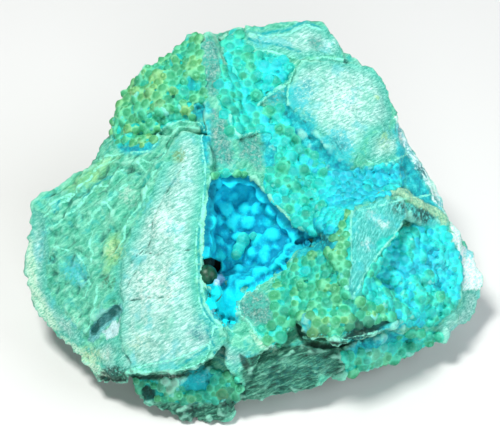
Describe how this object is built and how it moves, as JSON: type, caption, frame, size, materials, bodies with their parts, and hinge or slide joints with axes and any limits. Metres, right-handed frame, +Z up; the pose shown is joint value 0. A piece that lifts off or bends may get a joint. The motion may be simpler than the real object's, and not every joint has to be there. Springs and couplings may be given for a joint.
{
  "type": "chrysocolla and malachite mineral specimen",
  "caption": "Broken hand specimen of blue-green stone with green botryoidal lumps, pale broken plates and a deep hollow lined with a blue botryoidal crust.",
  "frame": {"origin": "on the resting plane, under the middle of the stone's box", "axes": "+Z up from the flat resting face; +X along the longest width, to the right of someone facing the display side; -Y towards that viewer, so the hollow opens to -Y and up"},
  "size_m": [0.0937, 0.0762, 0.054],
  "materials": {
    "blue_green_stone": "broken matrix of mint, teal and silvery green plates with satin green botryoidal malachite lumps and fibrous streaks",
    "blue_crust": "velvety cyan-blue botryoidal chrysocolla, matt with soft highlights"
  },
  "bodies": {
    "root": {"rock": "blue_green_stone", "hollow_crust": "blue_crust"}
  },
  "joints": []
}
